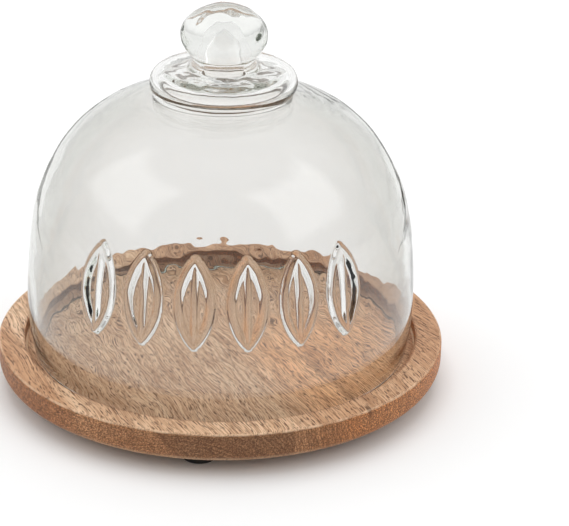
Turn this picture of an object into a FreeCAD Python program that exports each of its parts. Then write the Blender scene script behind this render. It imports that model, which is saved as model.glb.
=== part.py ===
import FreeCAD, Part
import math
import os
import Sketcher

# A clear glass cheese dome that stands in the recess of a round wooden board on four
# rubber feet. Millimetres. The origin is the centre of the footprint on the surface
# that the feet stand on, +Z is up, and the front is -Y.

SIZES = {
    # round board with a turned recess
    "board_radius": 98.0,
    "board_thickness": 14.0,
    "board_edge_round": 1.6,
    "board_under_round": 6.0,
    "recess_radius": 86.4,
    "recess_depth": 4.5,
    "recess_round": 1.5,
    # rubber feet, each held by one screw and washer
    "foot_height": 5.0,
    "foot_radius": 8.0,
    "foot_tread_radius": 7.3,
    "foot_tread_round": 0.8,
    "foot_circle_radius": 81.5,
    "foot_first_angle": 264.0,
    "foot_angle_step": 90.0,
    "counterbore_radius": 4.1,
    "foot_bore_radius": 1.9,
    "washer_radius": 4.0,
    "washer_bore_radius": 1.6,
    "washer_thickness": 0.7,
    "washer_height": 2.3,
    "head_radius": 3.2,
    "head_thickness": 1.5,
    "head_round": 0.9,
    "shank_radius": 1.45,
    "shank_length": 8.7,
    "tip_length": 1.0,
    "tip_radius": 0.4,
    "drive_width": 0.8,
    "drive_span": 3.4,
    "drive_depth": 0.9,
    "pilot_radius": 1.5,
    "pilot_depth": 7.5,
    # glass wall: arcs in a tangent chain from the widest circle up to the crown
    "wall_thickness": 3.5,
    "lip_round": 0.8,
    "dome_radius": 84.6,
    "widest_height": 17.0,
    "base_bend": 110.0,
    "wall_bend": 253.0,
    "wall_turn": 8.0,
    "shoulder_bend": 82.0,
    "shoulder_turn": 24.0,
    "crown_bend": 54.0,
    "crown_turn": 50.0,
    # thick collar and ball knob on the crown
    "groove_radius": 29.3,
    "groove_round": 0.8,
    "collar_radius": 31.3,
    "collar_edge": 6.2,
    "collar_under_round": 8.0,
    "collar_height": 115.6,
    "collar_top_radius": 16.25,
    "collar_top_rise": 0.4,
    "waist_fillet": 3.2,
    "waist_radius": 13.2,
    "waist_height": 125.4,
    "ball_radius": 18.3,
    "ball_height": 135.8,
    "ball_side_round": 10.0,
    "ball_top_round": 22.0,
    # hollow inside the collar and knob
    "throat_radius": 24.8,
    "throat_round": 4.0,
    "hollow_round": 2.6,
    "hollow_step": 0.4,
    "cavity_fillet": 3.4,
    "cavity_neck_radius": 9.0,
    "cavity_tip_radius": 7.5,
    "cavity_tip_height": 129.2,
    # raised leaf outlines around the front of the wall
    "relief_height": 1.9,
    "relief_root": 1.0,
    "leaf_count": 6.0,
    "leaf_spacing": 14.8,
    "leaf_middle": 49.5,
    "leaf_half_length": 20.5,
    "leaf_half_width": 8.6,
    "bead_width": 4.2,
    "rib_width": 3.2,
}

FOOT_SIDES = ("front", "right", "back", "left")

BOARD_TOP = "(Sizes.foot_height + Sizes.board_thickness)"
RECESS_FLOOR = "(" + BOARD_TOP + " - Sizes.recess_depth)"

doc = FreeCAD.newDocument("cheese_dome")


def make_sheet():
    sheet = doc.addObject("Spreadsheet::Sheet", "Sizes")
    for row, (alias, value) in enumerate(SIZES.items(), start=1):
        sheet.set("A%d" % row, alias)
        sheet.set("B%d" % row, str(value))
        sheet.setAlias("B%d" % row, alias)
    doc.recompute()
    return sheet


sizes = make_sheet()


def value_of(expression):
    result = sizes.evalExpression(expression.replace("Sizes.", ""))
    return float(getattr(result, "Value", result))


def origin_plane(body, role):
    return next(item for item in body.Origin.OriginFeatures if item.Role == role)


def new_body(label):
    body = doc.addObject("PartDesign::Body", label)
    body.Label = label
    return body


def new_sketch(body, name, role):
    sketch = body.newObject("Sketcher::SketchObject", name)
    sketch.AttachmentSupport = [(origin_plane(body, role), "")]
    sketch.MapMode = "FlatFace"
    return sketch


def bind(sketch, index, expression):
    """Drive one dimension of a sketch from the sheet."""
    sketch.setExpression("Constraints[%d]" % index, expression)


def bind_vertex(sketch, geometry, position, point):
    """Hold a vertex at a point that is worked out from the sheet."""
    axes = (("DistanceX", point[0], -2), ("DistanceY", point[1], -1))
    for kind, expression, axis in axes:
        distance = value_of(expression)
        if abs(distance) < 1e-9:
            sketch.addConstraint(Sketcher.Constraint("PointOnObject", geometry, position, axis))
        else:
            index = sketch.addConstraint(Sketcher.Constraint(kind, geometry, position, distance))
            bind(sketch, index, expression)


def arc_between(start, end, radius, turn):
    """The short arc from start to end; turn is +1 bending left and -1 bending right."""
    middle = (start + end) * 0.5
    chord = end - start
    left = FreeCAD.Vector(-chord.y, chord.x, 0).normalize()
    reach = math.sqrt(max(radius ** 2 - (chord.Length / 2) ** 2, 0.0))
    centre = middle + left * (reach * turn)
    first, last = (start, end) if turn > 0 else (end, start)
    angles = [math.atan2(p.y - centre.y, p.x - centre.x) for p in (first, last)]
    circle = Part.Circle(centre, FreeCAD.Vector(0, 0, 1), radius)
    return Part.ArcOfCircle(circle, angles[0], angles[1])


def draw_outline(sketch, start, steps):
    """Closed outline. A step is (x, y) for a line or (x, y, radius, turn) for an arc."""
    stops = [start] + [step[:2] for step in steps]
    points = [FreeCAD.Vector(value_of(x), value_of(y), 0) for x, y in stops]
    ends = []
    for index, step in enumerate(steps):
        begin, end = points[index], points[index + 1]
        if len(step) == 2:
            geometry = sketch.addGeometry(Part.LineSegment(begin, end))
            ends.append((geometry, 1, 2))
            continue
        radius, turn = step[2:]
        geometry = sketch.addGeometry(arc_between(begin, end, value_of(radius), turn))
        ends.append((geometry, 1, 2) if turn > 0 else (geometry, 2, 1))
        index = sketch.addConstraint(Sketcher.Constraint("Radius", geometry, value_of(radius)))
        bind(sketch, index, radius)
    for index, (geometry, first, last) in enumerate(ends):
        after, after_first, _ = ends[(index + 1) % len(ends)]
        sketch.addConstraint(Sketcher.Constraint("Coincident", geometry, last, after, after_first))
        bind_vertex(sketch, geometry, last, steps[index][:2])


def turned(label, start, steps):
    """A body turned about the Z axis from an outline of radius and height."""
    body = new_body(label)
    sketch = new_sketch(body, label + "_outline", "XZ_Plane")
    draw_outline(sketch, start, steps)
    turn = body.newObject("PartDesign::Revolution", label + "_turned")
    turn.Profile = sketch
    turn.ReferenceAxis = (sketch, ["V_Axis"])
    turn.Angle = 360.0
    doc.recompute()
    return body


def cut_upward(body, sketch, name, depth):
    """Pocket from the sketch at the body's zero height up to the given height."""
    before = body.Shape.Volume
    pocket = body.newObject("PartDesign::Pocket", name)
    pocket.Profile = sketch
    pocket.Reversed = True
    pocket.setExpression("Length", depth)
    doc.recompute()
    if body.Shape.Volume > before - 0.1:
        raise RuntimeError(name + " cuts nothing")
    return pocket


def place_at_foot(body, side):
    """Move a piece from the Z axis out to the middle of one foot."""
    angle = "(Sizes.foot_first_angle + Sizes.foot_angle_step * %d)" % FOOT_SIDES.index(side)
    body.setExpression("Placement.Base.x", "Sizes.foot_circle_radius * cos(" + angle + ")")
    body.setExpression("Placement.Base.y", "Sizes.foot_circle_radius * sin(" + angle + ")")


def make_board():
    edge = "(Sizes.board_radius - Sizes.board_edge_round)"
    floor_edge = "(Sizes.recess_radius - Sizes.recess_round)"
    body = turned(
        "board",
        ("0", "Sizes.foot_height"),
        [
            ("Sizes.board_radius - Sizes.board_under_round", "Sizes.foot_height"),
            ("Sizes.board_radius", "Sizes.foot_height + Sizes.board_under_round",
             "Sizes.board_under_round", 1),
            ("Sizes.board_radius", BOARD_TOP + " - Sizes.board_edge_round"),
            (edge, BOARD_TOP, "Sizes.board_edge_round", 1),
            ("Sizes.recess_radius", BOARD_TOP),
            ("Sizes.recess_radius", RECESS_FLOOR + " + Sizes.recess_round"),
            (floor_edge, RECESS_FLOOR, "Sizes.recess_round", -1),
            ("0", RECESS_FLOOR),
            ("0", "Sizes.foot_height"),
        ],
    )
    sketch = new_sketch(body, "pilot_outline", "XY_Plane")
    hole = sketch.addGeometry(Part.Circle(FreeCAD.Vector(1, -80, 0), FreeCAD.Vector(0, 0, 1), 1.5))
    index = sketch.addConstraint(Sketcher.Constraint("Radius", hole, value_of("Sizes.pilot_radius")))
    bind(sketch, index, "Sizes.pilot_radius")
    first = ("Sizes.foot_circle_radius * cos(Sizes.foot_first_angle)",
             "Sizes.foot_circle_radius * sin(Sizes.foot_first_angle)")
    bind_vertex(sketch, hole, 3, first)
    pilot = cut_upward(body, sketch, "pilot_hole", "Sizes.foot_height + Sizes.pilot_depth")
    ring = body.newObject("PartDesign::PolarPattern", "pilot_ring")
    ring.Originals = [pilot]
    ring.Axis = (sketch, ["N_Axis"])
    ring.Angle = 360.0
    ring.Occurrences = len(FOOT_SIDES)
    body.Tip = ring
    doc.recompute()
    return body


def make_foot(side):
    shelf = "Sizes.washer_height + Sizes.washer_thickness"
    body = turned(
        "foot_" + side,
        ("Sizes.counterbore_radius", "0"),
        [
            ("Sizes.foot_tread_radius - Sizes.foot_tread_round", "0"),
            ("Sizes.foot_tread_radius", "Sizes.foot_tread_round", "Sizes.foot_tread_round", 1),
            ("Sizes.foot_radius", "Sizes.foot_height"),
            ("Sizes.foot_bore_radius", "Sizes.foot_height"),
            ("Sizes.foot_bore_radius", shelf),
            ("Sizes.counterbore_radius", shelf),
            ("Sizes.counterbore_radius", "0"),
        ],
    )
    place_at_foot(body, side)
    return body


def make_washer(side):
    top = "Sizes.washer_height + Sizes.washer_thickness"
    body = turned(
        "washer_" + side,
        ("Sizes.washer_bore_radius", "Sizes.washer_height"),
        [
            ("Sizes.washer_radius", "Sizes.washer_height"),
            ("Sizes.washer_radius", top),
            ("Sizes.washer_bore_radius", top),
            ("Sizes.washer_bore_radius", "Sizes.washer_height"),
        ],
    )
    place_at_foot(body, side)
    return body


def make_screw(side):
    head_bottom = "(Sizes.washer_height - Sizes.head_thickness)"
    shank_top = "(Sizes.washer_height + Sizes.shank_length)"
    body = turned(
        "screw_" + side,
        ("0", head_bottom),
        [
            ("Sizes.head_radius - Sizes.head_round", head_bottom),
            ("Sizes.head_radius", head_bottom + " + Sizes.head_round", "Sizes.head_round", 1),
            ("Sizes.head_radius", "Sizes.washer_height"),
            ("Sizes.shank_radius", "Sizes.washer_height"),
            ("Sizes.shank_radius", shank_top),
            ("Sizes.tip_radius", shank_top + " + Sizes.tip_length"),
            ("0", shank_top + " + Sizes.tip_length"),
            ("0", head_bottom),
        ],
    )
    sketch = new_sketch(body, "drive_" + side, "XY_Plane")
    slot = "Sizes.drive_width / 2"
    arm = "Sizes.drive_span / 2"
    corners = [(arm, slot), (slot, slot), (slot, arm), ("-" + slot, arm),
               ("-" + slot, slot), ("-" + arm, slot), ("-" + arm, "-" + slot),
               ("-" + slot, "-" + slot), ("-" + slot, "-" + arm), (slot, "-" + arm),
               (slot, "-" + slot), (arm, "-" + slot)]
    draw_outline(sketch, corners[-1], corners)
    cut_upward(body, sketch, "drive_cut_" + side, head_bottom + " + Sizes.drive_depth")
    place_at_foot(body, side)
    return body


def wall_stop(offset, arcs):
    """End of the wall's arc number arcs (0 is the widest circle), offset outward."""
    bends = ("wall", "shoulder", "crown")[:arcs]
    radius = "Sizes.dome_radius + (%s)" % offset
    height = BOARD_TOP + " + Sizes.widest_height"
    turned_so_far = "0"
    for bend in bends:
        grown = "(Sizes.%s_bend + (%s))" % (bend, offset)
        turned_now = turned_so_far + " + Sizes.%s_turn" % bend
        radius += " - %s * (cos(%s) - cos(%s))" % (grown, turned_so_far, turned_now)
        height += " + %s * (sin(%s) - sin(%s))" % (grown, turned_now, turned_so_far)
        turned_so_far = turned_now
    return radius, height


def wall_bend(name, offset):
    return "Sizes.%s_bend + (%s)" % (name, offset)


def base_stop(offset):
    """Where the wall meets the rounding of its bottom lip."""
    height = RECESS_FLOOR + " + Sizes.lip_round"
    drop = "(Sizes.widest_height + Sizes.recess_depth - Sizes.lip_round)"
    radius = ("Sizes.dome_radius - Sizes.base_bend + sqrt((Sizes.base_bend + (%s))^2 - %s^2)"
              % (offset, drop))
    return radius, height


def make_dome_blank():
    """The turned glass: lip, wall, crown, collar, waist, ball and the hollow inside them."""
    out = "0"
    inside = "-Sizes.wall_thickness"
    outer_base = base_stop(out)
    inner_base = base_stop(inside)
    collar_centre = "(Sizes.collar_radius - Sizes.collar_edge)"
    collar_middle = "(" + BOARD_TOP + " + Sizes.collar_height)"
    collar_top = "(" + collar_middle + " + Sizes.collar_edge)"
    # a narrow round-bottomed groove parts the collar from the crown
    crown_outside = wall_stop(out, 3)
    crown_slope = "tan(90 - Sizes.wall_turn - Sizes.shoulder_turn - Sizes.crown_turn)"
    groove_bottom = ("(" + crown_outside[1] + " + (" + crown_outside[0]
                     + " - Sizes.groove_radius) * " + crown_slope + ")")
    under_centre = "(Sizes.collar_radius - Sizes.collar_under_round)"
    groove_top = ("(" + collar_middle + " - sqrt(Sizes.collar_under_round^2 - (Sizes.groove_radius - "
                  + under_centre + ")^2))")
    waist = "(" + BOARD_TOP + " + Sizes.waist_height)"
    ball_middle = "(" + BOARD_TOP + " + Sizes.ball_height)"
    # the ball's side arc meets its flatter top arc where both share a normal
    side_centre = "(Sizes.ball_radius - Sizes.ball_side_round)"
    arc_gap = "(Sizes.ball_top_round - Sizes.ball_side_round)"
    top_drop = "sqrt(" + arc_gap + "^2 - " + side_centre + "^2)"
    meet_scale = "Sizes.ball_top_round / " + arc_gap
    meet_radius = side_centre + " * " + meet_scale
    meet_height = ball_middle + " - " + top_drop + " + " + top_drop + " * " + meet_scale
    ball_top = ball_middle + " - " + top_drop + " + Sizes.ball_top_round"
    # the waist's upper hollow is tangent to the ball's side arc
    waist_rise = "(Sizes.ball_height - Sizes.waist_height)"
    waist_step = "(Sizes.waist_radius - " + side_centre + ")"
    waist_round = ("((" + waist_step + "^2 + " + waist_rise + "^2 - Sizes.ball_side_round^2)"
                   " / (2 * (Sizes.ball_side_round - " + waist_step + ")))")
    share = "Sizes.ball_side_round / (Sizes.ball_side_round + " + waist_round + ")"
    blend_radius = side_centre + " + (" + waist_step + " + " + waist_round + ") * " + share
    blend_height = ball_middle + " - " + waist_rise + " * " + share
    cavity_tip = BOARD_TOP + " + Sizes.cavity_tip_height"
    crown_inside = wall_stop(inside, 3)
    # the hollow follows the collar at the wall's thickness and narrows again at the waist
    hollow_top = "(" + collar_middle + " + Sizes.hollow_round)"
    hollow_bottom = "(" + collar_middle + " - Sizes.hollow_round)"
    neck_height = "(" + hollow_top + " + Sizes.cavity_fillet)"
    crown_lean = "(90 - Sizes.wall_turn - Sizes.shoulder_turn - Sizes.crown_turn)"
    throat_end = "(Sizes.throat_radius + Sizes.throat_round * (1 - sin(" + crown_lean + ")))"
    throat_low = ("(" + crown_inside[1] + " + (" + crown_inside[0] + " - " + throat_end + ") * "
                  + crown_slope + ")")
    throat_high = "(" + throat_low + " + Sizes.throat_round * cos(" + crown_lean + "))"
    lip = "Sizes.lip_round"
    return turned(
        "dome_blank",
        (inner_base[0] + " + " + lip, RECESS_FLOOR),
        [
            (outer_base[0] + " - " + lip, RECESS_FLOOR),
            outer_base + (lip, 1),
            wall_stop(out, 0) + ("Sizes.base_bend", 1),
            wall_stop(out, 1) + (wall_bend("wall", out), 1),
            wall_stop(out, 2) + (wall_bend("shoulder", out), 1),
            crown_outside + (wall_bend("crown", out), 1),
            ("Sizes.groove_radius", groove_bottom),
            ("Sizes.groove_radius", groove_top, "Sizes.groove_round", -1),
            ("Sizes.collar_radius", collar_middle, "Sizes.collar_under_round", 1),
            (collar_centre, collar_top, "Sizes.collar_edge", 1),
            ("Sizes.collar_top_radius", collar_top + " + Sizes.collar_top_rise"),
            ("Sizes.waist_radius", waist, "Sizes.waist_fillet", -1),
            (blend_radius, blend_height, waist_round, -1),
            (meet_radius, meet_height, "Sizes.ball_side_round", 1),
            ("0", ball_top, "Sizes.ball_top_round", 1),
            ("0", cavity_tip + " + Sizes.cavity_tip_radius"),
            ("Sizes.cavity_tip_radius", cavity_tip, "Sizes.cavity_tip_radius", -1),
            ("Sizes.cavity_neck_radius", neck_height),
            ("Sizes.cavity_neck_radius + Sizes.cavity_fillet", hollow_top, "Sizes.cavity_fillet", 1),
            (collar_centre, hollow_top),
            (collar_centre + " + Sizes.hollow_round", collar_middle, "Sizes.hollow_round", -1),
            (collar_centre, hollow_bottom, "Sizes.hollow_round", -1),
            ("Sizes.throat_radius", hollow_bottom + " - Sizes.hollow_step"),
            ("Sizes.throat_radius", throat_high),
            (throat_end, throat_low, "Sizes.throat_round", 1),
            crown_inside,
            wall_stop(inside, 2) + (wall_bend("crown", inside), -1),
            wall_stop(inside, 1) + (wall_bend("shoulder", inside), -1),
            wall_stop(inside, 0) + (wall_bend("wall", inside), -1),
            inner_base + (wall_bend("base", inside), -1),
            (inner_base[0] + " + " + lip, RECESS_FLOOR, lip, 1),
        ],
    )


def make_relief_layer():
    """A skin over the wall, from just under its surface to the top of the relief."""
    root = "-Sizes.relief_root"
    crest = "Sizes.relief_height"
    return turned(
        "relief_layer",
        wall_stop(root, 0),
        [
            wall_stop(crest, 0),
            wall_stop(crest, 1) + (wall_bend("wall", crest), 1),
            wall_stop(crest, 2) + (wall_bend("shoulder", crest), 1),
            wall_stop(crest, 3) + (wall_bend("crown", crest), 1),
            wall_stop(root, 3),
            wall_stop(root, 2) + (wall_bend("crown", root), -1),
            wall_stop(root, 1) + (wall_bend("shoulder", root), -1),
            wall_stop(root, 0) + (wall_bend("wall", root), -1),
        ],
    )


def make_leaf(number):
    """One leaf: an outline bead of two arcs with a rib down the middle."""
    body = new_body("leaf_%d" % number)
    sketch = new_sketch(body, "leaf_outline_%d" % number, "XZ_Plane")
    middle = BOARD_TOP + " + Sizes.leaf_middle"
    length = "Sizes.leaf_half_length"
    width = "Sizes.leaf_half_width"
    bend = "((" + length + "^2 + " + width + "^2) / (2 * " + width + "))"
    top = ("0", middle + " + " + length)
    bottom = ("0", middle + " - " + length)
    draw_outline(sketch, bottom, [top + (bend, 1), bottom + (bend, 1)])
    inner_bend = "(" + bend + " - Sizes.bead_width)"
    rib = "Sizes.rib_width / 2"
    reach = "sqrt(" + inner_bend + "^2 - (" + bend + " - " + width + " + " + rib + ")^2)"
    for side, turn in (("", 1), ("-", -1)):
        low = (side + rib, middle + " - " + reach)
        high = (side + rib, middle + " + " + reach)
        draw_outline(sketch, low, [high + (inner_bend, turn), low])
    pad = body.newObject("PartDesign::Pad", "leaf_pad_%d" % number)
    pad.Profile = sketch
    pad.setExpression("Length", "Sizes.dome_radius + 2 * Sizes.relief_height")
    body.Placement = FreeCAD.Placement(FreeCAD.Vector(), FreeCAD.Rotation(FreeCAD.Vector(0, 0, 1), 1))
    turn_angle = "(%d - (Sizes.leaf_count - 1) / 2) * Sizes.leaf_spacing" % number
    body.setExpression("Placement.Rotation.Angle", turn_angle)
    doc.recompute()
    if body.Shape.BoundBox.YMax > 60:
        raise RuntimeError("leaf %d points to the back" % number)
    return body


def make_glass_dome():
    blank = make_dome_blank()
    leaves = doc.addObject("Part::MultiFuse", "leaves")
    leaves.Shapes = [make_leaf(number) for number in range(int(SIZES["leaf_count"]))]
    relief = doc.addObject("Part::Common", "relief")
    relief.Base = make_relief_layer()
    relief.Tool = leaves
    dome = doc.addObject("Part::Fuse", "glass_dome")
    dome.Label = "glass_dome"
    dome.Base = blank
    dome.Tool = relief
    doc.recompute()
    if dome.Shape.Volume < blank.Shape.Volume + 100:
        raise RuntimeError("the relief adds nothing to the dome")
    return dome


def check(pieces):
    for item in doc.Objects:
        if "Invalid" in item.State or "Error" in item.State:
            raise RuntimeError("%s failed: %s" % (item.Name, item.State))
    for piece in pieces:
        shape = piece.Shape
        if shape.isNull() or not shape.isValid() or len(shape.Solids) != 1:
            raise RuntimeError("%s is not one valid solid" % piece.Label)


def main():
    pieces = [make_board(), make_glass_dome()]
    for side in FOOT_SIDES:
        pieces += [make_foot(side), make_washer(side), make_screw(side)]
    doc.recompute()
    check(pieces)
    os.makedirs("parts", exist_ok=True)
    for piece in pieces:
        piece.Shape.exportStep("parts/%s.step" % piece.Label)
        box = piece.Shape.BoundBox
        print("%-14s volume %9.1f  z %7.2f to %7.2f" % (piece.Label, piece.Shape.Volume, box.ZMin, box.ZMax))


main()
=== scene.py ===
"""Cheese dome: a hand-made glass on a mango-wood board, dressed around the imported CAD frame.

Lengths are in metres. Outlines are lists of (radius, height) points with height measured
from the board's top face.
"""

import math

import bmesh
import bpy
import numpy as np
from mathutils import Matrix, Vector, noise


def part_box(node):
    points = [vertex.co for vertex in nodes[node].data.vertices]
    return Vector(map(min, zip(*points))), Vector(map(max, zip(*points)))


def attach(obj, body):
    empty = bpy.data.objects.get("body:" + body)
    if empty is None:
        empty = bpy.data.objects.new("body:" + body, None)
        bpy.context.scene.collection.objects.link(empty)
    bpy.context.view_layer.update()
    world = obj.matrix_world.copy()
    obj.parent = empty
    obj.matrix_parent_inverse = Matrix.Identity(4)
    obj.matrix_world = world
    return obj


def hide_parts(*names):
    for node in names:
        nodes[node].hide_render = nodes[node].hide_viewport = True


MM = 0.001

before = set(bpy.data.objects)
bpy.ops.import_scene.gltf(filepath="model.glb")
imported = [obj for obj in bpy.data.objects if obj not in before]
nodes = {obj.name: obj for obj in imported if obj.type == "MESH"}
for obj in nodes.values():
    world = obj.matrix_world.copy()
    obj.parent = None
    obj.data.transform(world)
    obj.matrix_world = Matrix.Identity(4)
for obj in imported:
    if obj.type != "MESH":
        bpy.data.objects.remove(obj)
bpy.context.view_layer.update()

BOARD_LOW, BOARD_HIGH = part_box("board")
BOARD_RADIUS = BOARD_HIGH.x
BOARD_TOP = BOARD_HIGH.z
GLASS_LOW, GLASS_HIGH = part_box("glass_dome")
RECESS_DEPTH = BOARD_TOP - GLASS_LOW.z
FOOT_HEIGHT = BOARD_LOW.z

# ---------------------------------------------------------------- outlines


def arc(start, end, radius, turn, step):
    """Points after start on the short arc to end; turn is +1 bending left, -1 bending right."""
    start = Vector(start)
    end = Vector(end)
    chord = end - start
    reach = math.sqrt(max(radius * radius - chord.length_squared / 4, 0.0))
    left = Vector((-chord.y, chord.x)).normalized()
    centre = (start + end) / 2 + left * reach * turn
    first = math.atan2(start.y - centre.y, start.x - centre.x)
    sweep = 2 * math.asin(min(1.0, chord.length / 2 / radius)) * turn
    count = max(2, round(abs(sweep) * radius / step))
    angles = [first + sweep * (k + 1) / count for k in range(count)]
    return [(centre.x + radius * math.cos(a), centre.y + radius * math.sin(a)) for a in angles]


def line(start, end, step):
    """Points after start on the straight run to end."""
    start = Vector(start)
    end = Vector(end)
    count = max(1, round((end - start).length / step))
    return [tuple(start.lerp(end, (k + 1) / count)) for k in range(count)]


def trace(start, steps):
    """Outline from a start point and steps (r, z, spacing) or (r, z, spacing, radius, turn), in mm."""
    points = [start]
    for step in steps:
        end = step[:2]
        if len(step) == 3:
            points += line(points[-1], end, step[2])
        else:
            points += arc(points[-1], end, step[3], step[4], step[2])
    return [(r * MM, z * MM) for r, z in points]


# ---------------------------------------------------------------- lathe


def lathe(name, outline, angles, closed=False):
    """Turn an outline about the Z axis. An open outline starts and ends on the axis."""
    ring = outline if closed else outline[1:-1]
    radii = np.array([p[0] for p in ring])
    heights = np.array([p[1] for p in ring]) + BOARD_TOP
    cos, sin = np.cos(angles), np.sin(angles)
    rows, columns = len(ring), len(angles)
    grid = np.empty((rows, columns, 3))
    grid[:, :, 0] = radii[:, None] * cos[None, :]
    grid[:, :, 1] = radii[:, None] * sin[None, :]
    grid[:, :, 2] = heights[:, None]
    vertices = grid.reshape(-1, 3).tolist()
    faces = []
    spans = rows if closed else rows - 1
    for row in range(spans):
        above = (row + 1) % rows
        for column in range(columns):
            beside = (column + 1) % columns
            faces.append((row * columns + column, row * columns + beside,
                          above * columns + beside, above * columns + column))
    if not closed:
        first_pole = len(vertices)
        vertices.append((0.0, 0.0, outline[0][1] + BOARD_TOP))
        vertices.append((0.0, 0.0, outline[-1][1] + BOARD_TOP))
        last = (rows - 1) * columns
        for column in range(columns):
            beside = (column + 1) % columns
            faces.append((first_pole, beside, column))
            faces.append((first_pole + 1, last + column, last + beside))
    mesh = bpy.data.meshes.new(name)
    mesh.from_pydata(vertices, [], faces)
    mesh.validate()
    shell = bmesh.new()
    shell.from_mesh(mesh)
    bmesh.ops.recalc_face_normals(shell, faces=shell.faces)
    shell.to_mesh(mesh)
    shell.free()
    mesh.shade_smooth()
    piece = bpy.data.objects.new(name, mesh)
    bpy.context.scene.collection.objects.link(piece)
    return piece


def even_angles(count):
    return np.linspace(0, 2 * math.pi, count, endpoint=False)


def read_vertices(piece):
    points = np.empty(len(piece.data.vertices) * 3)
    piece.data.vertices.foreach_get("co", points)
    return points.reshape(-1, 3)


def read_normals(piece):
    normals = np.empty(len(piece.data.vertices) * 3)
    piece.data.vertex_normals.foreach_get("vector", normals)
    return normals.reshape(-1, 3)


def write_vertices(piece, points):
    piece.data.vertices.foreach_set("co", points.ravel())
    piece.data.update()


NOISE_STEP = (7.31, 3.77, 5.13)
NOISE_GAIN = 1.6


def perlin(points, size, seed):
    """Smooth noise of about -1 to 1 at each point, with blobs of the given size."""
    shift = Vector([seed * step for step in NOISE_STEP])
    return np.array([noise.noise(Vector(p) / size + shift) for p in points]) * NOISE_GAIN


# ---------------------------------------------------------------- glass

WALL = 3.5
LIP_ROUND = 0.8
DOME_RADIUS = 84.6
WIDEST = 17.0
BASE_BEND = 110.0
BENDS = (253.0, 82.0, 54.0)
TURNS = (8.0, 24.0, 50.0)
COLLAR_RADIUS = 31.3
COLLAR_EDGE = 6.2
COLLAR_UNDER = 8.0
COLLAR_HEIGHT = 115.6
GROOVE_RADIUS = 29.3
GROOVE_ROUND = 0.8
COLLAR_TOP_RADIUS = 16.25
COLLAR_TOP_RISE = 0.4
WAIST_FILLET = 3.2
WAIST_RADIUS = 13.2
WAIST_HEIGHT = 125.4
BALL_RADIUS = 18.3
BALL_HEIGHT = 135.8
BALL_SIDE = 10.0
BALL_TOP = 22.0
THROAT_RADIUS = 24.8
THROAT_ROUND = 4.0
HOLLOW_ROUND = 2.6
HOLLOW_STEP = 0.4
CAVITY_FILLET = 3.4
CAVITY_NECK = 9.0
CAVITY_TIP = (7.5, 129.2)
KNOB_LEAN = 0.5 * MM


def wall_stop(arcs, offset):
    """End of the wall's arc number arcs, counted up from the widest circle."""
    radius = DOME_RADIUS + offset
    height = WIDEST
    before = 0.0
    for bend, turn in list(zip(BENDS, TURNS))[:arcs]:
        after = before + math.radians(turn)
        radius -= (bend + offset) * (math.cos(before) - math.cos(after))
        height += (bend + offset) * (math.sin(after) - math.sin(before))
        before = after
    return radius, height


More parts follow.
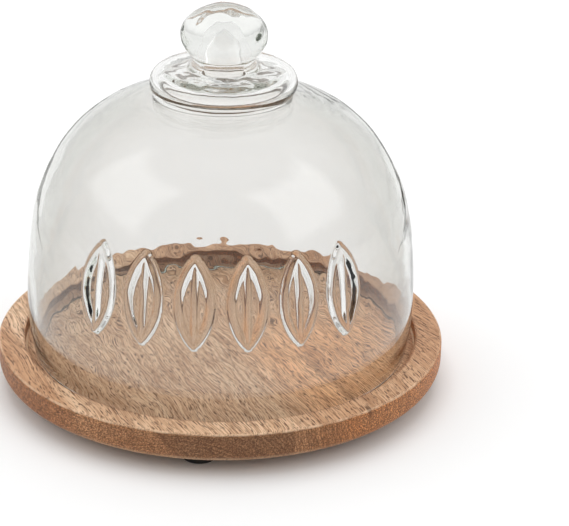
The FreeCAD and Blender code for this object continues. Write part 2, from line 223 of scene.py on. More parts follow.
def glass_outline():
    """Outside from the top of the ball down to the lip, then inside up to the cavity's tip."""
    collar_centre = COLLAR_RADIUS - COLLAR_EDGE
    collar_top = COLLAR_HEIGHT + COLLAR_EDGE
    side_centre = BALL_RADIUS - BALL_SIDE
    gap = BALL_TOP - BALL_SIDE
    drop = math.sqrt(gap ** 2 - side_centre ** 2)
    meet = (side_centre * BALL_TOP / gap, BALL_HEIGHT - drop + drop * BALL_TOP / gap)
    rise = BALL_HEIGHT - WAIST_HEIGHT
    step = WAIST_RADIUS - side_centre
    waist_round = (step ** 2 + rise ** 2 - BALL_SIDE ** 2) / (2 * (BALL_SIDE - step))
    share = BALL_SIDE / (BALL_SIDE + waist_round)
    blend = (side_centre + (step + waist_round) * share, BALL_HEIGHT - rise * share)
    crown = wall_stop(3, 0)
    slope = math.tan(math.radians(90 - sum(TURNS)))
    groove_low = (GROOVE_RADIUS, crown[1] + (crown[0] - GROOVE_RADIUS) * slope)
    groove_rise = math.sqrt(COLLAR_UNDER ** 2 - (GROOVE_RADIUS - COLLAR_RADIUS + COLLAR_UNDER) ** 2)
    groove_high = (GROOVE_RADIUS, COLLAR_HEIGHT - groove_rise)
    lip_height = LIP_ROUND - RECESS_DEPTH / MM
    lip_drop = WIDEST - lip_height
    outer_lip = DOME_RADIUS - BASE_BEND + math.sqrt(BASE_BEND ** 2 - lip_drop ** 2)
    inner_bend = BASE_BEND - WALL
    inner_lip = DOME_RADIUS - BASE_BEND + math.sqrt(inner_bend ** 2 - lip_drop ** 2)
    lip_bottom = lip_height - LIP_ROUND
    crown_in = wall_stop(3, -WALL)
    hollow_top = COLLAR_HEIGHT + HOLLOW_ROUND
    hollow_bottom = COLLAR_HEIGHT - HOLLOW_ROUND
    lean = math.radians(90 - sum(TURNS))
    throat_end = THROAT_RADIUS + THROAT_ROUND * (1 - math.sin(lean))
    throat_low = crown_in[1] + (crown_in[0] - throat_end) * slope
    throat_high = throat_low + THROAT_ROUND * math.cos(lean)
    return trace(
        (0.0, BALL_HEIGHT - drop + BALL_TOP),
        [
            meet + (1.0, BALL_TOP, -1),
            blend + (0.8, BALL_SIDE, -1),
            (WAIST_RADIUS, WAIST_HEIGHT, 0.6, waist_round, 1),
            (COLLAR_TOP_RADIUS, collar_top + COLLAR_TOP_RISE, 0.5, WAIST_FILLET, 1),
            (collar_centre, collar_top, 0.9),
            (COLLAR_RADIUS, COLLAR_HEIGHT, 0.7, COLLAR_EDGE, -1),
            groove_high + (0.6, COLLAR_UNDER, -1),
            groove_low + (0.35, GROOVE_ROUND, 1),
            crown + (0.8,),
            wall_stop(2, 0) + (1.3, BENDS[2], -1),
            wall_stop(1, 0) + (0.45, BENDS[1], -1),
            wall_stop(0, 0) + (0.45, BENDS[0], -1),
            (outer_lip, lip_height, 1.2, BASE_BEND, -1),
            (outer_lip - LIP_ROUND, lip_bottom, 0.35, LIP_ROUND, -1),
            (inner_lip + LIP_ROUND, lip_bottom, 0.5),
            (inner_lip, lip_height, 0.35, LIP_ROUND, -1),
            wall_stop(0, -WALL) + (2.0, inner_bend, 1),
            wall_stop(1, -WALL) + (1.8, BENDS[0] - WALL, 1),
            wall_stop(2, -WALL) + (1.8, BENDS[1] - WALL, 1),
            crown_in + (1.8, BENDS[2] - WALL, 1),
            (throat_end, throat_low, 1.0),
            (THROAT_RADIUS, throat_high, 0.6, THROAT_ROUND, -1),
            (THROAT_RADIUS, hollow_bottom - HOLLOW_STEP, 0.6),
            (collar_centre, hollow_bottom, 0.5),
            (collar_centre + HOLLOW_ROUND, COLLAR_HEIGHT, 0.5, HOLLOW_ROUND, 1),
            (collar_centre, hollow_top, 0.5, HOLLOW_ROUND, 1),
            (CAVITY_NECK + CAVITY_FILLET, hollow_top, 1.0),
            (CAVITY_NECK, hollow_top + CAVITY_FILLET, 0.5, CAVITY_FILLET, -1),
            CAVITY_TIP + (0.9,),
            (0.0, CAVITY_TIP[1] + CAVITY_TIP[0], 0.6, CAVITY_TIP[0], 1),
        ],
    )


RELIEF_HEIGHT = 1.9 * MM
RIB_HEIGHT = 0.85
BEAD_FULLNESS = 0.85
LEAF_COUNT = 6
LEAF_SPACING = math.radians(14.8)
LEAF_MIDDLE = 49.5 * MM
LEAF_HALF_LENGTH = 20.5 * MM
LEAF_HALF_WIDTH = 8.6 * MM
BEAD_WIDTH = 4.2 * MM
RIB_WIDTH = 3.2 * MM
TOWARD_FRONT = -math.pi / 2
FRONT_MARGIN = math.radians(2)
FRONT_COLUMNS = 330
BACK_COLUMNS = 140

# unevenness of the glass: size of its waves and their depth, in mm
SWAY = (45, 0.20)
SWELL = (17, 0.09)
RIPPLE = (4.8, 0.055)
FLANK_WAVE = (10, 0.14)
MOTTLE_SIZE = 4.5
COLLAR_MOTTLE = 0.035
BALL_MOTTLE = 0.13
RING_SPACING = 4.4
RING_DEPTH = 0.06
RING_WANDER_SIZE = 14
RING_PATCH_SIZE = 16
RELIEF_WAVE_SIZE = 8

# how strongly the unevenness acts, as shares, and how far the crown's rings wander, in radians
RING_WANDER = 4
RING_PRESENCE = 0.6
RIPPLE_NEAR_LIP = 0.45
RIPPLE_LOSS_ABOVE = 0.8
SWAY_LOSS_AT_KNOB = 0.6
INNER_SWELL = -0.5
RELIEF_WAVE = 0.12

# where each kind of unevenness starts and is full, in mm above the board
KNOB_BLEND = 6
LIP_CALM = (1, 9)
LIVELY_FROM = (25, 55)
LIVELY_TO = (72, 92)
FLANK_OUT = (58, 74)
FLANK_UP = (40, 60)
RINGS_FROM = (97, 103)
TOP_CALM = (1.1, 0.1)


def glass_angles():
    """Columns of the glass: close together across the relief and wider round the back."""
    half = LEAF_SPACING * (LEAF_COUNT / 2) + FRONT_MARGIN
    front = np.linspace(-half, half, FRONT_COLUMNS)
    back = np.linspace(half, 2 * math.pi - half, BACK_COLUMNS)[1:-1]
    return np.concatenate([front, back]) + TOWARD_FRONT


def bead(distance, half_width):
    """Rounded cross-section of a raised bead, 1 on its centre line and 0 at its edge."""
    across = np.clip(distance / half_width, 0, 1)
    return (1 - across ** 2) ** BEAD_FULLNESS


def relief(points, outward):
    """Height of the raised leaves over the wall, 0 to 1."""
    bend = (LEAF_HALF_LENGTH ** 2 + LEAF_HALF_WIDTH ** 2) / (2 * LEAF_HALF_WIDTH)
    centre = bend - LEAF_HALF_WIDTH
    middle_bend = bend - BEAD_WIDTH / 2
    tip = math.sqrt(middle_bend ** 2 - centre ** 2)
    radius = np.hypot(points[:, 0], points[:, 1])
    azimuth = np.arctan2(points[:, 0], -points[:, 1])
    height = points[:, 2] - BOARD_TOP - LEAF_MIDDLE
    total = np.zeros(len(points))
    for number in range(LEAF_COUNT):
        turn = azimuth - (number - (LEAF_COUNT - 1) / 2) * LEAF_SPACING
        across = np.abs(radius * np.sin(turn))
        beyond = np.maximum(np.abs(height) - tip, 0)
        edge = np.abs(np.hypot(across + centre, height) - middle_bend)
        edge = np.where(beyond > 0, np.hypot(across, beyond), edge)
        rib = np.hypot(across, beyond)
        leaf = np.maximum(bead(edge, BEAD_WIDTH / 2), RIB_HEIGHT * bead(rib, RIB_WIDTH / 2))
        total = np.maximum(total, np.where(np.abs(turn) < LEAF_SPACING / 2, leaf, 0))
    return np.where(outward, total, 0)


def ramp(values, low, high):
    """0 below low, 1 above high, smooth between."""
    share = np.clip((values - low) / (high - low), 0, 1)
    return share * share * (3 - 2 * share)


def waves(points, kind, seed):
    """Gentle waves of one kind, given as (size, depth) in mm."""
    size, depth = kind
    return perlin(points, size * MM, seed) * depth * MM


def ramp_mm(values, limits):
    return ramp(values, limits[0] * MM, limits[1] * MM)


def unevenness(points, outward, crown):
    """How far each point of the blown glass lies outside its drawn place, in metres."""
    height = points[:, 2] - BOARD_TOP
    radius = np.hypot(points[:, 0], points[:, 1])
    knob = ramp(height, crown, crown + KNOB_BLEND * MM)
    ball = ramp(height, WAIST_HEIGHT * MM, BALL_HEIGHT * MM)
    lively = RIPPLE_NEAR_LIP + (1 - RIPPLE_NEAR_LIP) * ramp_mm(height, LIVELY_FROM)
    lively *= 1 - RIPPLE_LOSS_ABOVE * ramp_mm(height, LIVELY_TO)
    swell = waves(points, SWELL, 2)
    ripple = waves(points, RIPPLE, 3)
    mottle = perlin(points, MOTTLE_SIZE * MM, 4) * (COLLAR_MOTTLE + BALL_MOTTLE * ball) * MM
    turns = radius / (RING_SPACING * MM) * 2 * math.pi
    wander = perlin(points, RING_WANDER_SIZE * MM, 5) * RING_WANDER
    patches = np.clip(RING_PRESENCE + perlin(points, RING_PATCH_SIZE * MM, 6), 0, 1)
    rings = np.sin(turns + wander) * RING_DEPTH * MM * ramp_mm(height, RINGS_FROM) * patches
    push = waves(points, SWAY, 1) * (1 - SWAY_LOSS_AT_KNOB * knob)
    push += np.where(outward, swell + ripple * lively + rings, swell * INNER_SWELL)
    flank = ramp_mm(np.abs(points[:, 0]), FLANK_OUT) * ramp_mm(height, FLANK_UP)
    push += np.where(outward, waves(points, FLANK_WAVE, 8) * flank, 0)
    push += knob * mottle
    top = GLASS_HIGH.z - BOARD_TOP
    return push * (1 - ramp_mm(height - top, (-TOP_CALM[0], -TOP_CALM[1])))


def make_glass():
    """The blown glass: the drawn outline, gently uneven all over, with the leaves raised on it."""
    piece = lathe("glass_dome_clear", glass_outline(), glass_angles())
    points = read_vertices(piece)
    normals = read_normals(piece)
    height = points[:, 2] - BOARD_TOP
    radial = points[:, 0] * normals[:, 0] + points[:, 1] * normals[:, 1]
    crown = wall_stop(3, 0)[1] * MM
    outward = (radial > 0) & (height < crown)
    still = ramp_mm(points[:, 2] - GLASS_LOW.z, LIP_CALM)
    push = unevenness(points, outward, crown) * still
    stroke = 1 + RELIEF_WAVE * perlin(points, RELIEF_WAVE_SIZE * MM, 7)
    push += relief(points, outward) * stroke * RELIEF_HEIGHT
    knob = ramp(height, crown, crown + KNOB_BLEND * MM)
    points = points + normals * push[:, None]
    points[:, 0] += knob * KNOB_LEAN
    write_vertices(piece, points)
    return piece


# ---------------------------------------------------------------- board

BOARD_THICKNESS = (BOARD_TOP - BOARD_LOW.z) / MM
UNDER_ROUND = 6.0
EDGE_ROUND = 1.6
RECESS_RADIUS = 86.4
RECESS_ROUND = 1.5
RECESS_LIP = 0.5
FOOT_CIRCLE = 81.5 * MM
FOOT_FIRST = math.radians(264)
PILOT_RADIUS = 1.5 * MM
PILOT_DEPTH = 7.5 * MM
DRILL_SIDES = 32
BOARD_COLUMNS = 300


def board_outline():
    """Under side, side, rim and recess of the board."""
    rim = BOARD_RADIUS / MM
    floor = -RECESS_DEPTH / MM
    return trace(
        (0.0, -BOARD_THICKNESS),
        [
            (rim - UNDER_ROUND, -BOARD_THICKNESS, 4.0),
            (rim, UNDER_ROUND - BOARD_THICKNESS, 0.6, UNDER_ROUND, 1),
            (rim, -EDGE_ROUND, 1.0),
            (rim - EDGE_ROUND, 0.0, 0.25, EDGE_ROUND, 1),
            (RECESS_RADIUS + RECESS_LIP, 0.0, 1.0),
            (RECESS_RADIUS, -RECESS_LIP, 0.15, RECESS_LIP, 1),
            (RECESS_RADIUS, floor + RECESS_ROUND, 0.5),
            (RECESS_RADIUS - RECESS_ROUND, floor, 0.3, RECESS_ROUND, -1),
            (0.0, floor, 3.0),
        ],
    )


def foot_places():
    turns = [FOOT_FIRST + k * math.pi / 2 for k in range(4)]
    return [Vector((FOOT_CIRCLE * math.cos(a), FOOT_CIRCLE * math.sin(a), 0)) for a in turns]


def drill(piece, places, radius, low, high):
    """Cut a round hole at each place, from height low to height high."""
    drills = bmesh.new()
    for place in places:
        centre = place + Vector((0, 0, (low + high) / 2))
        bmesh.ops.create_cone(drills, cap_ends=True, segments=DRILL_SIDES, radius1=radius,
                              radius2=radius, depth=high - low, matrix=Matrix.Translation(centre))
    mesh = bpy.data.meshes.new("drills")
    drills.to_mesh(mesh)
    drills.free()
    cutter = bpy.data.objects.new("drills", mesh)
    bpy.context.scene.collection.objects.link(cutter)
    cut = piece.modifiers.new("drill", "BOOLEAN")
    cut.operation = "DIFFERENCE"
    cut.solver = "EXACT"
    cut.object = cutter
    depsgraph = bpy.context.evaluated_depsgraph_get()
    result = bpy.data.meshes.new_from_object(piece.evaluated_get(depsgraph))
    piece.modifiers.clear()
    piece.data = result
    bpy.data.objects.remove(cutter)
    bpy.data.meshes.remove(mesh)


def make_board():
    piece = lathe("board_mango", board_outline(), even_angles(BOARD_COLUMNS))
    drill(piece, foot_places(), PILOT_RADIUS, 0.0, FOOT_HEIGHT + PILOT_DEPTH)
    return piece


# ---------------------------------------------------------------- materials


class Nodes:
    """Short calls for building one node tree."""

    def __init__(self, tree, output):
        self.tree = tree
        self.tree.nodes.clear()
        self.output = self.add(output)

    def add(self, kind, **settings):
        node = self.tree.nodes.new("ShaderNode" + kind)
        for key, value in settings.items():
            setattr(node, key, value)
        return node

    def link(self, source, target):
        self.tree.links.new(source, target)

    def put(self, socket, value):
        if isinstance(value, bpy.types.NodeSocket):
            self.link(value, socket)
        else:
            socket.default_value = value

    def math(self, operation, a, b=None, c=None):
        node = self.add("Math", operation=operation)
        for socket, value in zip(node.inputs, (a, b, c)):
            if value is not None:
                self.put(socket, value)
        return node.outputs[0]

    def times(self, a, b):
        return self.math("MULTIPLY", a, b)

    def mix(self, factor, a, b, blend="MIX"):
        node = self.add("Mix", data_type="RGBA", blend_type=blend)
        self.put(node.inputs[0], factor)
        self.put(node.inputs[6], a)
        self.put(node.inputs[7], b)
        return node.outputs[2]

    def tint(self, colour, by):
        return self.mix(1.0, colour, by, "MULTIPLY")

    def spread(self, value, low, high, to_low=0.0, to_high=1.0):
        node = self.add("MapRange", interpolation_type="SMOOTHSTEP")
        for socket, item in zip(node.inputs, (value, low, high, to_low, to_high)):
            self.put(socket, item)
        return node.outputs[0]

    def noise(self, vector, scale, detail=3.0, rough=0.5, distortion=0.0):
        node = self.add("TexNoise")
        self.put(node.inputs["Vector"], vector)
        node.inputs["Scale"].default_value = scale
        node.inputs["Detail"].default_value = detail
        node.inputs["Roughness"].default_value = rough
        node.inputs["Distortion"].default_value = distortion
        return node.outputs["Fac"]

    def turned(self, vector, angle):
        node = self.add("Mapping")
        self.put(node.inputs["Vector"], vector)
        node.inputs["Rotation"].default_value = (0, 0, angle)
        return node.outputs[0]

    def stretched(self, vector, scale):
        return self.vector("MULTIPLY", vector, scale)

    def pattern(self, vector, kind):
        """Noise given as (stretch, settings)."""
        stretch, settings = kind
        return self.noise(self.stretched(vector, stretch), *settings)

    def cover(self, colour, over, where, limits, strength):
        """Lay a colour over another as the pattern rises through the limits."""
        return self.mix(self.spread(where, *limits, 0.0, strength), colour, over)

    def bump(self, height, strength, distance):
        node = self.add("Bump")
        node.inputs["Strength"].default_value = strength
        node.inputs["Distance"].default_value = distance
        self.put(node.inputs["Height"], height)
        return node.outputs[0]

    def surface(self, **inputs):
        node = self.add("BsdfPrincipled")
        for key, value in inputs.items():
            self.put(node.inputs[key.replace("_", " ")], value)
        self.link(node.outputs[0], self.output.inputs["Surface"])

    def place(self):
        return self.add("TexCoord").outputs["Object"]

    def combine(self, x, y=0.0, z=0.0):
        node = self.add("CombineXYZ")
        for socket, value in zip(node.inputs, (x, y, z)):
            self.put(socket, value)
        return node.outputs[0]

    def separate(self, vector):
        node = self.add("SeparateXYZ")
        self.put(node.inputs[0], vector)
        return node.outputs

    def vector(self, operation, a, b=None):
        node = self.add("VectorMath", operation=operation)
        for socket, value in zip(node.inputs, (a, b)):
            if value is not None:
                self.put(socket, value)
        return node.outputs["Value" if operation in ("DOT_PRODUCT", "LENGTH") else "Vector"]


def new_material(name):
    material = bpy.data.materials.new(name)
    material.use_nodes = True
    made = Nodes(material.node_tree, "OutputMaterial")
    made.material = material
    return made


GLASS_IOR = 1.5
BODY_BELOW = (0.113, 0.107)
CLEAR_TINT = (0.98, 0.98, 0.976, 1)
FACE_TINT = (0.895, 0.895, 0.888, 1)
# painted shade on the glass body: grey where it is seen on edge, darker still in a thin line at its outline
EDGE_SHADE_TINT = (0.66, 0.665, 0.635, 1)
RIM_SHADE_TINT = (0.36, 0.37, 0.35, 1)
EDGE_SHADE_FACING = (0.12, 0.85)
RIM_SHADE_FACING = (0.74, 0.94)
GLASS_DEPTH_TINT = (0.95, 0.954, 0.946, 1)
GLASS_DENSITY = 100.0


def glass_material():
    """Clear glass. The body carries painted shade: it greys where it is seen on edge and is darkest at its
    outline. The collar and the knob stay clear.
    """
    made = new_material("clear_glass")
    height = made.math("SUBTRACT", made.separate(made.place())[2], BOARD_TOP)
    weight = made.add("LayerWeight")
    weight.inputs["Blend"].default_value = 0.5
    facing = weight.outputs["Facing"]
    # painted shade: the body greys by the angle it is seen at, darkest at the very outline
    shaded = made.mix(made.spread(facing, *EDGE_SHADE_FACING), FACE_TINT, EDGE_SHADE_TINT)
    shaded = made.mix(made.spread(facing, *RIM_SHADE_FACING), shaded, RIM_SHADE_TINT)
    colour = made.mix(made.spread(height, *BODY_BELOW), CLEAR_TINT, shaded)
    made.surface(Base_Color=colour, Roughness=0.0, IOR=GLASS_IOR, Transmission_Weight=1.0)
    volume = made.add("VolumeAbsorption")
    volume.inputs["Color"].default_value = GLASS_DEPTH_TINT
    volume.inputs["Density"].default_value = GLASS_DENSITY
    made.link(volume.outputs[0], made.output.inputs["Volume"])
    return made.material


# Wood is described in the planks' own directions: along the grain, across it, and up.
GRAIN_TURN = math.radians(-66)
JOINT_FIRST = -0.0864
PLANK_WIDTH = 0.076
PLANK_SHIFT = 3.7
GRAIN_WANDER = 0.02
PITH_ACROSS = 0.0335
PITH_DEPTH = -0.003
PITH_DROP = 0.045
STREAK_ACROSS = 0.0265
STREAK_WIDTH = 0.0042
STREAK_ALONG = (0.018, 0.040, 0.082, 0.100)
KNOT = (0.0935, 0.0235)
KNOT_HALF = (0.0042, 0.0016)
KNOT_UP = (0.012, 0.017)
LATE_RING = 0.0486
LATE_SLOPE = 0.7
LATE_LINE = 0.0016
HEART_PLANK = 0.0
TAN_LEFT = (-0.082, -0.090)
TAN_MIDDLE = (-0.0114, 0.004)
TAN_RIGHT = (0.056, 0.074)
TAN_OUTWARD = (0.080, 0.0868)
HONEY_ACROSS = (-0.006, 0.018)
HONEY_ALONG = (-0.025, 0.030)
HONEY_OUTWARD = (0.084, 0.078)
# painted shade on the board's side: where its tone changes across the grain, in metres
SIDE_SHADE_RIGHT = (0.004, 0.018)
# painted shade in the recess corner: where it rises and falls, in metres from the axis
CORNER_SHADE_INSIDE = (0.0795, 0.0862)
CORNER_SHADE_OUTSIDE = (0.0876, 0.0868)

# Noise in the wood: scale, detail, roughness and distortion; most are stretched along the grain.
GRAIN_BEND = ((9.0, 20.0), (1.6, 2.0))
RING_BANDS = (190.0, 3.0, 0.6)
RING_LINES = (1300.0, 2.0, 0.6)
BROAD = ((5.0, 30.0, 30.0), (1.6, 4.0, 0.6, 0.4))
CLOUD = ((12.0, 40.0, 40.0), (1.0, 3.0, 0.6))
FIBRE = ((65.0, 2500.0, 2500.0), (1.0, 2.0, 0.6))
PORES = ((300.0, 2500.0, 2500.0), (1.0, 0.0, 0.5))
CROWD = ((30.0, 160.0, 160.0), (1.0, 2.0, 0.5))
SPECKLE = ((800.0, 1700.0, 1700.0), (1.0, 2.0, 0.8))
PORE_EDGE = 0.635
PORE_CROWDING = -0.06
PORE_SOFTNESS = 0.07

LIGHT_WOOD = (0.90, 0.65, 0.44, 1)
WARM_WOOD = (0.72, 0.46, 0.28, 1)
BROWN_WOOD = (0.36, 0.175, 0.085, 1)
DARK_WOOD = (0.12, 0.05, 0.022, 1)
DEEP_WOOD = (0.14, 0.065, 0.03, 1)
TAN_TINT = (0.77, 0.64, 0.55, 1)
HONEY_TINT = (1.25, 1.03, 0.83, 1)
# tint of the painted shade in the recess corner
CORNER_SHADE_TINT = (0.58, 0.42, 0.31, 1)
HEART_TINT = (0.5, 0.5, 0.5, 1)
# tints of the painted shade on the board's side, changing across the grain
SIDE_SHADE_TINTS = ((0.90, 0.68, 0.50, 1), (1.0, 0.76, 0.53, 1), (1.36, 0.94, 0.57, 1))


class Wood:
    """Places and patterns inside the glued planks, shared by the layers of colour."""

    def __init__(self, made):
        place = made.place()
        self.along, self.across, self.up = made.separate(made.turned(place, -GRAIN_TURN))
        from_joint = made.math("SUBTRACT", self.across, JOINT_FIRST)
        self.plank = made.math("FLOOR", made.math("DIVIDE", from_joint, PLANK_WIDTH))
        inside = made.math("SUBTRACT", from_joint, made.times(self.plank, PLANK_WIDTH))
        apart = made.times(self.plank, PLANK_SHIFT)
        shifted = made.math("ADD", self.across, apart)
        stretch, settings = GRAIN_BEND
        bends_at = made.combine(made.times(self.along, stretch[0]), shifted, made.times(self.up, stretch[1]))
        wavy = made.noise(bends_at, *settings)
        bend = made.times(made.math("SUBTRACT", wavy, 0.5), GRAIN_WANDER)
        self.bent = made.math("ADD", self.across, bend)
        solid = made.combine(self.along, made.math("ADD", self.bent, apart), self.up)
        # growth rings around a pith that lies at another height in each plank
        ring_x = made.math("SUBTRACT", made.math("ADD", inside, bend), PITH_ACROSS)
        from_middle = made.math("ABSOLUTE", made.math("SUBTRACT", self.plank, 1.0))
        pith = made.math("SUBTRACT", PITH_DEPTH, made.times(from_middle, PITH_DROP))
        ring_z = made.math("SUBTRACT", self.up, made.math("ADD", pith, BOARD_TOP))
        rings = made.combine(made.vector("LENGTH", made.combine(ring_x, ring_z)), apart)
        self.bands = made.noise(rings, *RING_BANDS)
        self.lines = made.noise(rings, *RING_LINES)
        self.broad = made.pattern(solid, BROAD)
        self.cloud = made.pattern(solid, CLOUD)
        self.fibre = made.pattern(solid, FIBRE)
        pores = made.pattern(solid, PORES)
        self.crowd = made.pattern(solid, CROWD)
        self.speckle = made.pattern(solid, SPECKLE)
        edge = made.math("ADD", PORE_EDGE, made.times(self.crowd, PORE_CROWDING))
        self.pore = made.spread(made.math("SUBTRACT", pores, edge), 0.0, PORE_SOFTNESS)
        self.outward = made.vector("LENGTH", made.stretched(place, (1.0, 1.0, 0.0)))
        self.facing = made.separate(made.add("TexCoord").outputs["Normal"])


def grain_colour(made, wood):
    """Colour of the flat faces: rings, broad patches, a tan wash, the pith streak, fibres and pores."""
    colour = made.cover(LIGHT_WOOD, WARM_WOOD, wood.bands, (0.38, 0.64), 0.7)
    colour = made.cover(colour, WARM_WOOD, wood.broad, (0.40, 0.70), 0.75)
    colour = made.cover(colour, BROWN_WOOD, wood.cloud, (0.55, 0.78), 0.35)
    colour = made.cover(colour, BROWN_WOOD, wood.lines, (0.45, 0.75), 0.30)
    tanned = made.math("ADD", made.spread(wood.across, *TAN_LEFT),
                       made.spread(wood.across, *TAN_MIDDLE, 0.0, 0.7))
    tanned = made.math("ADD", tanned, made.spread(wood.across, *TAN_RIGHT, 0.0, 0.4))
    tanned = made.times(tanned, made.spread(wood.outward, *TAN_OUTWARD, 0.35, 1.0))
    colour = made.mix(tanned, colour, made.tint(colour, TAN_TINT))
    honey = made.times(made.spread(wood.across, *HONEY_ACROSS), made.spread(wood.outward, *HONEY_OUTWARD))
    honey = made.times(honey, made.spread(wood.along, *HONEY_ALONG))
    colour = made.mix(honey, colour, made.tint(colour, HONEY_TINT))
    colour = made.mix(made.times(pith_streak(made, wood), 0.75), colour, BROWN_WOOD)
    colour = made.cover(colour, BROWN_WOOD, wood.fibre, (0.46, 0.56), 0.66)
    colour = made.mix(made.times(wood.pore, 0.85), colour, DARK_WOOD)
    colour = made.mix(knot_mask(made, wood), colour, DARK_WOOD)
    # painted shade in the corner of the recess: the floor next to the wall and the wall itself are darkened
    corner_shade = made.times(made.spread(wood.outward, *CORNER_SHADE_INSIDE), made.spread(wood.outward, *CORNER_SHADE_OUTSIDE))
    return made.mix(made.times(corner_shade, 0.7), colour, made.tint(colour, CORNER_SHADE_TINT))


def pith_streak(made, wood):
    starts, full, fades, ends = STREAK_ALONG
    aside = made.math("ABSOLUTE", made.math("SUBTRACT", wood.bent, STREAK_ACROSS))
    reach = made.times(made.spread(wood.along, starts, full), made.spread(wood.along, ends, fades))
    streak = made.times(made.spread(aside, STREAK_WIDTH, 0.0), reach)
    return made.times(streak, made.spread(wood.broad, 0.2, 0.6, 0.5, 1.0))


def knot_mask(made, wood):
    along = made.math("DIVIDE", made.math("SUBTRACT", wood.along, KNOT[0]), KNOT_HALF[0])
    across = made.math("DIVIDE", made.math("SUBTRACT", wood.bent, KNOT[1]), KNOT_HALF[1])
    knot = made.vector("LENGTH", made.combine(along, across))
    return made.times(made.spread(knot, 1.0, 0.35, 0.0, 0.8), made.spread(wood.up, *KNOT_UP))


def shaded_side_colour(made, wood, colour):
    """Colour of the turned side: painted shade, darker and more saturated than the flat faces, with dark
    speckles, a darker heart in one plank and a dark ring line.
    """
    middle, right = made.spread(wood.across, *TAN_MIDDLE), made.spread(wood.across, *SIDE_SHADE_RIGHT)
    side_shade_tint = made.mix(right, made.mix(middle, *SIDE_SHADE_TINTS[:2]), SIDE_SHADE_TINTS[2])
    shaded_side = made.tint(colour, side_shade_tint)
    shaded_side = made.cover(shaded_side, DEEP_WOOD, wood.speckle, (0.45, 0.55), 0.85)
    late = made.math("ADD", made.math("ADD", wood.across, LATE_RING), made.times(wood.up, LATE_SLOPE))
    heart = made.times(made.spread(late, -0.001, 0.003), made.math("COMPARE", wood.plank, HEART_PLANK, 0.1))
    shaded_side = made.mix(made.times(heart, 0.6), shaded_side, made.tint(shaded_side, HEART_TINT))
    ring_line = made.spread(made.math("ABSOLUTE", late), LATE_LINE, 0.0)
    return made.mix(made.times(ring_line, 0.55), shaded_side, DARK_WOOD)


def wood_material():
    """Solid mango wood in three glued planks, oiled, with painted shade on its side and a painted highlight
    in patches along its top edge.
    """
    made = new_material("mango_wood")
    wood = Wood(made)
    upward = wood.facing[2]
    side = made.spread(made.math("ABSOLUTE", upward), 0.85, 0.35)
    grain_way = made.vector("DOT_PRODUCT", made.combine(*wood.facing[:2]),
                            (math.cos(GRAIN_TURN), math.sin(GRAIN_TURN), 0.0))
    end = made.spread(made.math("ABSOLUTE", grain_way), 0.55, 0.95)
    colour = grain_colour(made, wood)
    # painted shade: the board's vertical faces are darker and more saturated than its top
    colour = made.mix(side, colour, shaded_side_colour(made, wood, colour))
    # painted highlight along the rounded top edge, laid on in patches
    painted_edge_highlight = made.times(made.spread(upward, 0.35, 0.62), made.spread(upward, 0.97, 0.86))
    painted_edge_highlight = made.times(painted_edge_highlight, made.spread(wood.crowd, 0.42, 0.62, 0.05, 0.45))
    colour = made.mix(painted_edge_highlight, colour, LIGHT_WOOD)
    ring_end = made.cover(colour, DARK_WOOD, wood.lines, (0.42, 0.60), 0.62)
    colour = made.mix(made.times(made.times(side, end), 0.8), colour, ring_end)
    hollows = made.math("SUBTRACT", made.times(wood.fibre, 0.5), wood.pore)
    made.surface(Base_Color=colour, Roughness=made.spread(wood.fibre, 0.3, 0.7, 0.46, 0.6),
                 Normal=made.bump(hollows, 0.5, 0.0003), Specular_IOR_Level=0.3)
    return made.material


RUBBER_BLACK = (0.012, 0.012, 0.012, 1)
RUBBER_DUSTY = (0.035, 0.033, 0.031, 1)
STEEL_GREY = (0.55, 0.56, 0.57, 1)
STEEL_PALE = (0.68, 0.68, 0.66, 1)
SCRATCHES = ((300.0, 3000.0, 3000.0), (1.0, 2.0, 0.5))
FLOOR_WHITE = (0.92, 0.92, 0.92, 1)
FLAG_BLACK = (0.06, 0.06, 0.06, 1)


def rubber_material():
    made = new_material("black_rubber")
    place = made.place()
    grain = made.noise(place, 1800.0, 3.0, 0.6)
    dust = made.noise(place, 160.0, 4.0, 0.6)
    colour = made.cover(RUBBER_BLACK, RUBBER_DUSTY, dust, (0.45, 0.75), 0.5)
    made.surface(Base_Color=colour, Roughness=made.spread(dust, 0.3, 0.7, 0.55, 0.75),
                 Normal=made.bump(grain, 0.25, 0.0001))
    return made.material


def steel_material():
    made = new_material("zinc_steel")
    place = made.place()
    blotch = made.noise(place, 420.0, 3.0, 0.6)
    scratch = made.pattern(place, SCRATCHES)
    colour = made.mix(blotch, STEEL_GREY, STEEL_PALE)
    made.surface(Base_Color=colour, Metallic=1.0, Roughness=made.spread(blotch, 0.3, 0.7, 0.25, 0.42),
                 Normal=made.bump(scratch, 0.15, 0.00005))
    return made.material


def floor_material():
    made = new_material("studio_floor")
    made.surface(Base_Color=FLOOR_WHITE, Roughness=0.9, Specular_IOR_Level=0.1)
    return made.material


def dress(piece, material):
    piece.data.materials.clear()
    piece.data.materials.append(material)


# ---------------------------------------------------------------- studio

CAMERA_DISTANCE = 0.882
CAMERA_ELEVATION = math.radians(26)
CAMERA_LENS = 125.3
CAMERA_ROLL = math.radians(1.2)
AIM_RIGHT = 0.0281
AIM_UP = 0.0290


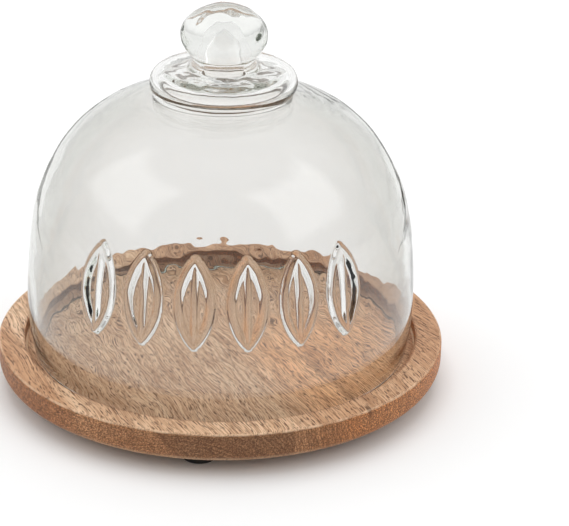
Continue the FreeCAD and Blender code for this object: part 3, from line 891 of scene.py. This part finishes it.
def make_camera():
    """Look at a point a little right of and above the board, so the object sits left of centre."""
    target = Vector((0, 0, BOARD_TOP))
    back = Vector((0, -math.cos(CAMERA_ELEVATION), math.sin(CAMERA_ELEVATION)))
    up = Vector((0, math.sin(CAMERA_ELEVATION), math.cos(CAMERA_ELEVATION)))
    location = target + back * CAMERA_DISTANCE
    aim = target + Vector((1, 0, 0)) * AIM_RIGHT + up * AIM_UP
    data = bpy.data.cameras.new("camera")
    data.lens = CAMERA_LENS
    data.sensor_width = 36.0
    data.clip_start = 0.01
    camera = bpy.data.objects.new("camera", data)
    camera.location = location
    turn = (aim - location).to_track_quat("-Z", "Y").to_matrix()
    camera.rotation_euler = (turn @ Matrix.Rotation(CAMERA_ROLL, 3, "Z")).to_euler()
    bpy.context.scene.collection.objects.link(camera)
    bpy.context.scene.camera = camera


FLOOR_HALF = 4.0
FLAG_NEAR = 0.14
FLAG_FAR = 0.25
FLAG_TIP = 0.10
FLAG_WIDE = 0.36
FLAG_BACK = 0.90


def flat_sheet(name, corners, material):
    """A single flat face that belongs to the studio."""
    mesh = bpy.data.meshes.new(name)
    mesh.from_pydata(corners, [], [(0, 1, 2, 3)])
    sheet = bpy.data.objects.new(name, mesh)
    bpy.context.scene.collection.objects.link(sheet)
    dress(sheet, material)
    return sheet


def make_floor():
    half = FLOOR_HALF
    corners = [(-half, -half, 0), (half, -half, 0), (half, half, 0), (-half, half, 0)]
    flat_sheet("studio_floor", corners, floor_material())


def make_flags():
    """A dark pointed strip of card behind the board on each side, seen only mirrored in the glass."""
    made = new_material("studio_flag")
    made.surface(Base_Color=FLAG_BLACK, Roughness=0.9)
    for side in (-1, 1):
        corners = [(side * FLAG_FAR, FLAG_TIP, MM), (side * FLAG_FAR, FLAG_BACK, MM),
                   (side * FLAG_NEAR, FLAG_BACK, MM), (side * FLAG_NEAR, FLAG_WIDE, MM)]
        flag = flat_sheet("studio_flag", corners, made.material)
        flag.visible_camera = False
        flag.visible_diffuse = False
        flag.visible_shadow = False
        flag.visible_transmission = False


# brightness of the room, and the parts of the view direction over which each change takes place
CEILING = 0.62
FRONT = 0.42
BACK_WALL = 1.0
FRONT_TO_CEILING = (-0.55, 0.15)
WALL_BEHIND = (0.10, 0.40)
WALL_TOP = (0.97, 0.80)
SIDE_LIGHT_AHEAD = (0.0, 0.15)
SIDE_LIGHTS = (math.radians(-81), math.radians(67))
SIDE_LIGHT_STRENGTH = 1.0
SIDE_LIGHT_HALF = (0.46, 0.32)
SIDE_LIGHT_BOTTOM = (0.26, 0.40)
SIDE_LIGHT_TOP = (0.90, 0.78)
OVERHEAD_PLACE = (0.0, 0.45, 1.7)
OVERHEAD_SIZE = 1.5
OVERHEAD_POWER = 13.0


def make_overhead():
    """A wide softbox over the table, set so that it leaves no patch of glare on the glass."""
    data = bpy.data.lights.new("overhead", "AREA")
    data.shape = "SQUARE"
    data.size = OVERHEAD_SIZE
    data.energy = OVERHEAD_POWER
    light = bpy.data.objects.new("overhead", data)
    light.location = OVERHEAD_PLACE
    aim = Vector((0, 0, 0)) - light.location
    light.rotation_euler = aim.to_track_quat("-Z", "Y").to_euler()
    light.visible_glossy = False
    light.visible_transmission = False
    bpy.context.scene.collection.objects.link(light)


def make_world():
    """A dim room with a pale wall behind the table and a softbox on each side of the camera."""
    world = bpy.data.worlds.new("studio")
    bpy.context.scene.world = world
    world.use_nodes = True
    made = Nodes(world.node_tree, "OutputWorld")
    direction = made.add("TexCoord").outputs["Generated"]
    _, y, z = made.separate(direction)
    wall = made.times(made.spread(y, *WALL_BEHIND), made.spread(z, *WALL_TOP))
    total = made.spread(y, *FRONT_TO_CEILING, FRONT, CEILING)
    total = made.math("ADD", total, made.times(wall, BACK_WALL - CEILING))
    tall = made.times(made.spread(z, *SIDE_LIGHT_BOTTOM), made.spread(z, *SIDE_LIGHT_TOP))
    for turn in SIDE_LIGHTS:
        ahead = (math.sin(turn), -math.cos(turn), 0.0)
        aside = (math.cos(turn), math.sin(turn), 0.0)
        toward = made.spread(made.vector("DOT_PRODUCT", direction, ahead), *SIDE_LIGHT_AHEAD)
        sideways = made.math("ABSOLUTE", made.vector("DOT_PRODUCT", direction, aside))
        box = made.times(made.times(toward, made.spread(sideways, *SIDE_LIGHT_HALF)), tall)
        total = made.math("ADD", total, made.times(box, SIDE_LIGHT_STRENGTH))
    background = made.add("Background")
    background.inputs["Color"].default_value = (1, 1, 1, 1)
    made.put(background.inputs["Strength"], total)
    made.link(background.outputs[0], made.output.inputs["Surface"])


def set_look():
    """Plain tones, and enough light bounces for the thick glass of the collar and knob."""
    scene = bpy.context.scene
    scene.view_settings.view_transform = "Standard"
    scene.view_settings.look = "None"
    scene.view_settings.exposure = 0.0
    scene.cycles.max_bounces = 48
    scene.cycles.transmission_bounces = 32
    scene.cycles.glossy_bounces = 32
    scene.cycles.diffuse_bounces = 4


# ---------------------------------------------------------------- build

make_camera()
make_world()
make_overhead()
make_floor()
make_flags()
set_look()

glass = make_glass()
dress(glass, glass_material())
glass.visible_shadow = False
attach(glass, "dome")
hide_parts("glass_dome")

board = make_board()
dress(board, wood_material())
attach(board, "base")
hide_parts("board")

RUBBER = rubber_material()
STEEL = steel_material()
for side in ("front", "right", "back", "left"):
    dress(nodes["foot_" + side], RUBBER)
    dress(nodes["washer_" + side], STEEL)
    dress(nodes["screw_" + side], STEEL)
